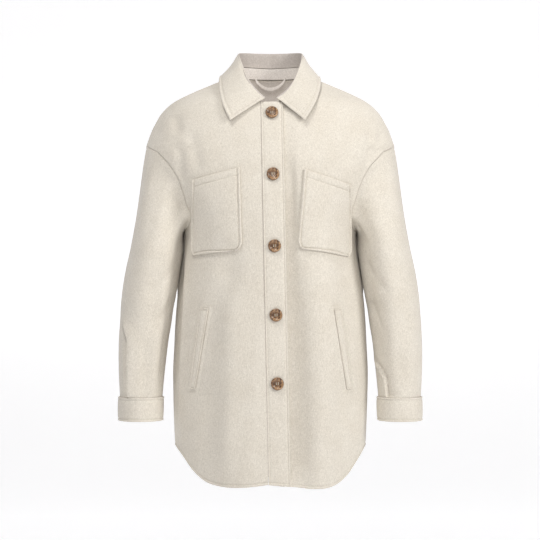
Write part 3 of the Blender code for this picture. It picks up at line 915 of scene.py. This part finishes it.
def add_back(half):
    grid = whole(half)
    normals = -outward_normals(grid)
    edge = from_edge(grid, "left", "right")
    top, hem = from_edge(grid, "top"), from_edge(grid, "bottom")
    depth = creases_at(BACK_CREASES, grid[..., 0], grid[..., 2])
    depth = depth * smoothstep(edge / 14) * smoothstep(top / 14)
    depth += dip(edge, 2.6, 1.0) + dip(top, 3.0, 1.6) + rolled_edge(hem)
    add_sewn(1, "back", grid, normals, depth, [-6], CLOTH)


def add_sleeve(side, word, grid, angles):
    grid, angles = finer_ring(grid, angles)
    normals = -outward_normals(grid, closed=True)
    degrees = ((np.degrees(angles) + 180) % 360 - 180)[None, :]
    scaled = [
        (a0 * SLEEVE_ARC, z0, a1 * SLEEVE_ARC, z1, width, depth)
        for a0, z0, a1, z1, width, depth in SLEEVE_CREASES[side]
    ]
    z = grid[..., 2]
    top = from_edge(grid, "top")
    depth = sum(creases_at(scaled, (degrees + turn) * SLEEVE_ARC, z) for turn in (-360, 0, 360))
    depth = depth + tuck_at(side, degrees, z) * smoothstep((z + 585) / 5)
    depth = depth * smoothstep(top / 16) + dip(top, 2.6, 1.5)
    node = f"sleeve_{word}"
    add_sewn(side, node, grid, normals, depth, [], CLOTH, side < 0, closed=True)


def add_cuff(side, word):
    angles = [2 * math.pi * i / 96 for i in range(96)]
    near = (0, 0.7, 1.5, 2.4, 3.2, 4.0, 4.8, 6.0, 8.0)
    drop = CUFF[0][0] - CUFF[-1][0]
    steps = [*near, *np.linspace(11, drop - 11, 7), *(drop - step for step in reversed(near))]
    grid = np.array([sleeve_ring(CUFF[0][0] - step, angles, CUFF) for step in steps])
    normals = outward_normals(grid, closed=True)
    edge = from_edge(grid, "top", "bottom")
    wave = 0.35 * np.sin(3 * np.array(angles) + side)[None, :] * smoothstep(edge / 8)
    depth = rolled_edge(edge, 4.0) + wave
    round_the_foot = (-6, [*range(len(angles)), 0])
    node = f"cuff_{word}"
    add_sewn(
        side, node, grid, normals, depth, [round_the_foot], DOUBLED, side > 0, closed=True
    )


def from_both_ends(near, total, inner_step):
    """Distances along a width: close together at both ends and evenly spaced between them."""
    count = max(2, math.ceil((total - 2 * near[-1]) / inner_step))
    between = [near[-1] + (total - 2 * near[-1]) * i / count for i in range(1, count)]
    return list(near) + between + [total - distance for distance in reversed(near)]


# Rounding of a pocket's lower inner and outer corners, and the share of its height they take.
POCKET_CORNERS = {-1: (14.0, 5.0), 1: (10.0, 8.0)}
CORNER_SHARE = 0.12
# Distances of the outermost rows and columns from a pocket's edge, then of a pocket's top rows.
NEAR_EDGE = (0, 0.6, 1.3, 2.2, 3.2, 4.1, 5.0, 5.9, 7.2, 9.0, 12.0)
POCKET_BAND = (0, 0.6, 1.3, 2.2, 4, 7, 10, 11.4, 12.4, 13.2, 14.0, 15.2, 18)


def patch_grid(side, corners, across, down, out, rounding=(0.0, 0.0)):
    """Grid over four corners on a front, moved out, with its lower corners rounded."""
    top_in, top_out, low_out, low_in = [np.array(corner, float) for corner in corners]
    grid, normals = [], []
    for v in down:
        row, ups = [], []
        near_end = max(0.0, 1 - (1 - v) / CORNER_SHARE)
        pull = 1 - math.sqrt(max(1 - near_end ** 2, 0))
        for u in across:
            upper, lower = (1 - u) * top_in + u * top_out, (1 - u) * low_in + u * low_out
            flat = (1 - v) * upper + v * lower
            inwards = pull * ((1 - u) * rounding[0] - u * rounding[1])
            point, normal = on_front(side, flat[0] + inwards, flat[1], out)
            row.append(point)
            ups.append(normal)
        grid.append(row)
        normals.append(ups)
    return np.array(grid), np.array(normals)


def add_pocket(side, word):
    corners = POCKET[side]
    wide, tall = math.dist(corners[0], corners[1]), math.dist(corners[0], corners[3])
    across = [distance / wide for distance in from_both_ends(NEAR_EDGE, wide, 4.0)]
    down = [distance / tall for distance in POCKET_BAND]
    down += [18 / tall + (1 - 30 / tall) * i / 28 for i in range(1, 28)]
    down += [1 - distance / tall for distance in reversed(NEAR_EDGE)]
    out = LAID_GAP + POCKET_WALL + 0.2
    grid, normals = patch_grid(side, corners, across, down, out, POCKET_CORNERS[side])
    sides, top = from_edge(grid, "left", "right"), from_edge(grid, "top")
    near = from_edge(grid, "left", "right", "bottom")
    depth = rolled_edge(near, 5.4, 1.9)
    depth -= 1.8 * smoothstep((near - 5) / 30) * smoothstep((top - 10) / 40)
    depth += 0.8 * np.clip(1 - top / 1.6, 0, 1) ** 2 - 0.5 * dip(top - 6.5, 4.0, 1.0)
    depth += dip(top - 13.2, 1.1, 0.8) * smoothstep(sides / 6)
    picks = np.s_[:, 6], np.s_[:, -7], np.s_[-7, 6:-6], np.s_[9, 6:-6]
    node, under = f"pocket_{word}", [f"front_{word}"]
    add_sewn(side, node, grid, normals, depth, picks, POCKET_WALL, side > 0, rests_on=under)


def add_welt(side, word):
    wide, tall = math.dist(WELT[0], WELT[1]), math.dist(WELT[0], WELT[3])
    near = (0, 0.6, 1.2, 1.9, 2.6, 3.3, 4.2, 5.6)
    across = [distance / wide for distance in from_both_ends(near, wide, 3.0)]
    down = [distance / tall for distance in from_both_ends(near, tall, 4.0)]
    grid, normals = patch_grid(side, WELT, across, down, LAID_GAP + CLOTH)
    depth = rolled_edge(from_edge(grid, "left", "right", "top", "bottom"), 2.6, 1.3)
    picks = np.s_[4:-4, 4], np.s_[4:-4, -5], np.s_[4, 4:-4], np.s_[-5, 4:-4]
    node, under = f"welt_{word}", [f"front_{word}"]
    add_sewn(side, node, grid, normals, depth, picks, CLOTH, side > 0, rests_on=under)


def placket_grid():
    near = (0, 0.6, 1.3, 2.0, 2.8, 3.5, 4.2, 5.2, 7.0)
    wide = 2 * PLACKET_HALF - SEAM_GAP
    offsets = [distance - PLACKET_HALF + SEAM_GAP for distance in from_both_ends(near, wide, 3.5)]
    upper = [z for z in SEAM_ROWS + ARMHOLE_ROWS if z < NECK_FRONT_Z]
    top = [NECK_FRONT_Z + 1 - step for step in (0, 0.6, 1.3)]
    rows = [(z, 0) for z in top + upper] + [(ARMPIT_Z, share) for share in LOWER_SHARES]
    grid = []
    for level, share in rows:
        row = []
        for offset in offsets:
            z = level + (smooth(4.0 + offset / 6, HEM_FRONT[1]) - level) * share
            x = centre_x(z) + offset
            row.append((x, front_y(x, z) - PLACKET_RISE, z))
        grid.append(row)
    return np.array(grid)


def add_placket():
    grid = placket_grid()
    normals = outward_normals(grid)
    left, right, top, hem = [from_edge(grid, edge) for edge in ("left", "right", "top", "bottom")]
    depth = rolled_edge(right, 3.5) + 0.8 * rolled_edge(left, 2.8) + rolled_edge(hem)
    depth += 0.9 * np.clip(1 - top / 1.6, 0, 1) ** 2
    x, z = grid[..., 0], grid[..., 2]
    for button_z in BUTTON_HEIGHTS:
        depth += dip(np.hypot(x - centre_x(button_z), z - button_z), 11.0, 0.6)
        ripple = 0.5 * dip(z - button_z - 60, 26.0, 1.0)
        depth -= ripple * smoothstep(left / 12) * smoothstep(right / 12)
    tack_row = int(np.argmin(np.abs(grid[:, 8, 2] - PLACKET_TACK_Z)))
    picks = np.s_[:, 4], np.s_[:, -6], np.s_[-6], np.s_[tack_row, 4:-5]
    seat = dict(flip=True, rests_on=["front_left"])
    shaped = add_sewn(1, "placket", grid, normals, depth, picks, DOUBLED, **seat)
    holes = []
    half_way = grid[len(grid) // 2]
    middle = int(np.argmin(np.abs(half_way[:, 0] - centre_x(half_way[0, 2]))))
    for button_z in BUTTON_HEIGHTS:
        rows_near = np.flatnonzero(np.abs(grid[:, middle, 2] - button_z) < 14)
        for shift in (-1.1, 1.1):
            points = shaped[rows_near, middle] + np.array([shift, 0, 0])
            holes.append((points, normals[rows_near, middle]))
    add_stitches("buttonhole_sewing", holes, pitch=0.75, length=2.0, half=0.45, turned=True)


def collar_grid(paths, shares, columns):
    """Rows across half a collar piece, from its front end to the back's middle."""
    curves = [curve_through(path) for path in paths]
    grid = []
    for column in columns:
        knots = [curve(column) for curve in curves]
        rows = [(i / (len(knots) - 1), *knot) for i, knot in enumerate(knots)]
        grid.append([[smooth(share, rows, axis) for axis in (1, 2, 3)] for share in shares])
    return np.array(grid).transpose(1, 0, 2)


def both_halves(left, right):
    """Whole grid from two halves whose last columns lie on the middle plane."""
    return np.concatenate([left, mirrored(right)[:, -2::-1]], axis=1)


# How far the stand starts above each point of the neckline, from the front end to the nape.
STAND_RISES = (3.0, 3.0, 3.0, 3.0, 3.0, 3.0, 3.0, 2.2, 1.4, 0.9, 0.9)
# The leaf reaches past the stand to this point over the top of the placket.
LEAF_END = np.array([12.5, -90, -45])
# Lengths that turn distances from the leaf's ends and rim into shares of its grid.
LEAF_EDGE = 300.0
LEAF_FALL = 95.0 / 1.05
LEAF_NEAR = (0, 0.6, 1.3, 2.2, 3.2, 4.3, 5.3, 6.2, 7.2, 9.0, 12.0)
LOOP_SPAN = 56.0
LOOP_SAG = 19.0
LOOP_BAND = 5.5
LOOP_WALL = 1.2
LOOP_NAPE_Y = 54.6


def neckline_path():
    """Points of half the neckline, from the front end to the nape."""
    front = []
    for z in (-42, -39, -34, -27, -18, -8):
        x = smooth(z, NECK)
        front.append((x, front_y(x, z), z))
    return tuple(front) + NECK_BACK


def add_collar():
    foot = [(x, y, z + rise) for (x, y, z), rise in zip(neckline_path(), STAND_RISES)]
    half = collar_grid([foot, STAND_TOP], np.linspace(0, 1, 9), np.linspace(0, 1, 61))
    stand = both_halves(half, half)
    add_shell("collar_stand", stand, DOUBLED)
    above = [LEAF_END] + [(x, y, z + 2 * SEAM_GAP) for x, y, z in STAND_TOP]
    columns = [distance / LEAF_EDGE for distance in LEAF_NEAR]
    columns += list(np.linspace(15 / LEAF_EDGE, 1, 74))
    shares = [*np.linspace(0, 0.4, 10), *np.linspace(0.42, 0.58, 11), *np.linspace(0.61, 0.82, 14)]
    shares += [1 - distance / LEAF_FALL for distance in reversed(LEAF_NEAR)]
    halves = [collar_grid([above, ROLL[side], OUTER[side]], shares, columns) for side in (1, -1)]
    leaf = both_halves(*halves)
    normals = outward_normals(leaf)
    edge = from_edge(leaf, "left", "right", "bottom")
    fallen = smoothstep((np.array(shares)[:, None] - 0.52) / 0.08)
    depth = (rolled_edge(edge, 6.0) - 0.8 * smoothstep(edge / 22)) * fallen
    start = next(i for i, share in enumerate(shares) if share > 0.56)
    picks = np.s_[-8, 7:-7], np.s_[start:-7, 7], np.s_[start:-7, -8]
    risen = sum(share < 0.44 for share in shares) * (leaf.shape[1] - 1)
    # The leaf's risen inner rows and its wall take the darker collar cloth: painted shade.
    made = dict(flip=True, held="folded", inside=WOOL_COLLAR_PAINTED_SHADE, first=risen)
    add_sewn(1, "collar_leaf", leaf, normals, depth, picks, LEAF_WALL, **made)


def add_loop():
    """Hanger loop: a narrow folded band that sags between its two sewn ends."""
    rows = []
    for drop in np.linspace(0, LOOP_BAND, 5):
        fullness = 0.3 * math.sin(math.pi * drop / LOOP_BAND)
        row = []
        for share in np.linspace(0, 1, 41):
            x = LOOP_SPAN * (share - 0.5)
            z = 10 - LOOP_SAG * math.sin(math.pi * share) ** 0.6
            row.append((x, LOOP_NAPE_Y - 9 * (x / 38) ** 2 - fullness, z - drop))
        rows.append(row)
    add_shell("hanger_loop", np.array(rows), LOOP_WALL, held="hung", rests_on=["collar_stand"])


# Half profile of a button: distances from its middle, and heights above its back.
BUTTON_RADII = (0, 5.6, 6.8, 7.6, 8.5, 9.4, 10.3, 11.0, 11.4, 11.5, 11.3, 10.7, 9.6, 0)
BUTTON_RISES = (1.5, 1.5, 1.75, 2.5, 3.15, 3.4, 3.25, 2.75, 2.1, 1.5, 0.9, 0.35, 0, 0)
THREAD_HOLE_RADIUS = 1.1
THREAD_HOLE_CIRCLE = 2.5
THREAD_REACH = 2.6


def thread_hole_spots():
    turns = [math.pi / 4 + i * math.pi / 2 for i in range(4)]
    return [(THREAD_HOLE_CIRCLE * math.cos(t), THREAD_HOLE_CIRCLE * math.sin(t)) for t in turns]


def button_mesh(index):
    """Four-hole button with a raised rim, facing up."""
    points = [(x * MM, 0, height * MM) for x, height in zip(BUTTON_RADII, BUTTON_RISES)]
    edges = [(i, i + 1) for i in range(len(points) - 1)]
    blank = linked(f"button_{index}_blank", mesh_of(f"button_{index}_profile", points, edges, []))
    screw = blank.modifiers.new("turn", "SCREW")
    screw.steps = screw.render_steps = 56
    screw.use_merge_vertices = True
    screw.merge_threshold = 0.00001
    cutter_mesh = bpy.data.meshes.new("thread_holes")
    holes = bmesh.new()
    radius = THREAD_HOLE_RADIUS * MM
    for x, y in thread_hole_spots():
        made = bmesh.ops.create_cone(
            holes, cap_ends=True, segments=20, radius1=radius, radius2=radius, depth=8 * MM
        )
        bmesh.ops.translate(holes, verts=made["verts"], vec=(x * MM, y * MM, 1.5 * MM))
    holes.to_mesh(cutter_mesh)
    holes.free()
    cutter = linked("thread_holes", cutter_mesh)
    cut = blank.modifiers.new("holes", "BOOLEAN")
    cut.object = cutter
    graph = bpy.context.evaluated_depsgraph_get()
    solid = bpy.data.meshes.new_from_object(blank.evaluated_get(graph))
    bpy.data.objects.remove(blank)
    bpy.data.objects.remove(cutter)
    solid.materials.clear()
    solid.materials.append(HORN)
    solid.shade_smooth()
    solid.set_sharp_from_angle(angle=math.radians(50))
    return solid


def add_button(index, z):
    """Button and its thread, facing out of the placket."""
    piece = linked(f"button_{index}_horn", button_mesh(index))
    x = centre_x(z)
    slope = math.atan2(smooth(z - 10, BODY, 2) - smooth(z + 10, BODY, 2), 20)
    piece.location = (x * MM, (front_y(x, z) - PLACKET_RISE - LAID_GAP) * MM, z * MM)
    piece.rotation_euler = (math.pi / 2 - slope, 0, 0)
    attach(piece, "root")
    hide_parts(f"button_{index}")
    bpy.context.view_layer.update()
    lines = []
    normal = tuple(piece.matrix_world.to_3x3() @ Vector((0, 0, 1)))
    for x_at, _ in thread_hole_spots()[:2]:
        for shift in (-0.35, 0.35):
            places = []
            for reach in np.linspace(-THREAD_REACH, THREAD_REACH, 9):
                height = 1.85 - 0.9 * (reach / THREAD_REACH) ** 4
                point = Vector((x_at + shift, reach, height)) * MM
                places.append(tuple(piece.matrix_world @ point / MM))
            lines.append((places, [normal] * len(places)))
    add_stitches(f"button_{index}_thread", lines, pitch=1.3, length=2.2, half=0.42)


# Camera and studio, in metres.
CAMERA_PLACE = (-0.0006, -3.1, -0.352)
LENS = 111.7
LIGHT_COLOUR = (1.0, 0.985, 0.955)
# Name, place, aim, size and power of each light.
LIGHTS = (
    ("key_right", (2.4, -1.8, 0.95), (0, 0, -0.35), 1.0, 55),
    ("top_soft", (-0.55, -1.2, 2.1), (0, 0, -0.2), 0.8, 36),
    ("neck_soft", (-0.1, -2.4, 0.7), (0, 0.05, -0.1), 0.5, 13),
)
FLOOR_Z = -1.35
WALL_Y = 4.6
BEND = 0.9


def add_camera():
    data = bpy.data.cameras.new("camera")
    data.lens, data.sensor_width = LENS, 36
    camera = linked("camera", data)
    camera.location = CAMERA_PLACE
    camera.rotation_euler = (math.pi / 2, 0, 0)
    bpy.context.scene.camera = camera


def add_light(name, place, aim, size, power):
    data = bpy.data.lights.new(name, "AREA")
    data.shape, data.size, data.energy, data.color = "SQUARE", size, power, LIGHT_COLOUR
    light = linked(name, data)
    light.location = place
    light.rotation_euler = (Vector(aim) - Vector(place)).to_track_quat("-Z", "Y").to_euler()


def add_studio():
    """Pale floor that curves up into a plain backdrop, soft lights and a white surround."""
    profile = [(-6.0, FLOOR_Z), (WALL_Y - BEND, FLOOR_Z)]
    for i in range(1, 13):
        angle = math.pi / 2 * i / 12
        y, z = BEND * math.sin(angle), BEND * (1 - math.cos(angle))
        profile.append((WALL_Y - BEND + y, FLOOR_Z + z))
    profile.append((WALL_Y, 4.0))
    rows = np.array([[(x, y, z) for x in (-6.0, 6.0)] for y, z in profile]) / MM
    floor = linked("studio_floor", grid_mesh("studio_floor", rows))
    floor.data.shade_smooth()
    made, _, shader = new_material("studio_white")
    set_inputs(shader, Base_Color=(0.93, 0.93, 0.93, 1), Roughness=0.9)
    set_inputs(shader, Emission_Color=(1, 1, 1, 1), Emission_Strength=0.38)
    floor.data.materials.append(made)
    world = bpy.data.worlds.new("studio")
    world.use_nodes = True
    surround = world.node_tree.nodes["Background"]
    set_inputs(surround, Color=(0.955, 0.945, 1, 1), Strength=0.29)
    bpy.context.scene.world = world
    for light in LIGHTS:
        add_light(*light)
    bpy.context.scene.view_settings.view_transform = "Standard"


def build():
    sides = {-1: "right", 1: "left"}
    fronts = {side: front_grid(side) for side in sides}
    back = back_half(fronts[1])
    sleeve, angles = sleeve_grid(fronts[1], back)
    for side, word in sides.items():
        add_front(side, word, fronts[side])
        add_sleeve(side, word, sleeve, angles)
        add_cuff(side, word)
        add_pocket(side, word)
        add_welt(side, word)
    add_back(back)
    add_placket()
    add_collar()
    add_loop()
    for index, z in enumerate(BUTTON_HEIGHTS, 1):
        add_button(index, z)
    add_camera()
    add_studio()


build()
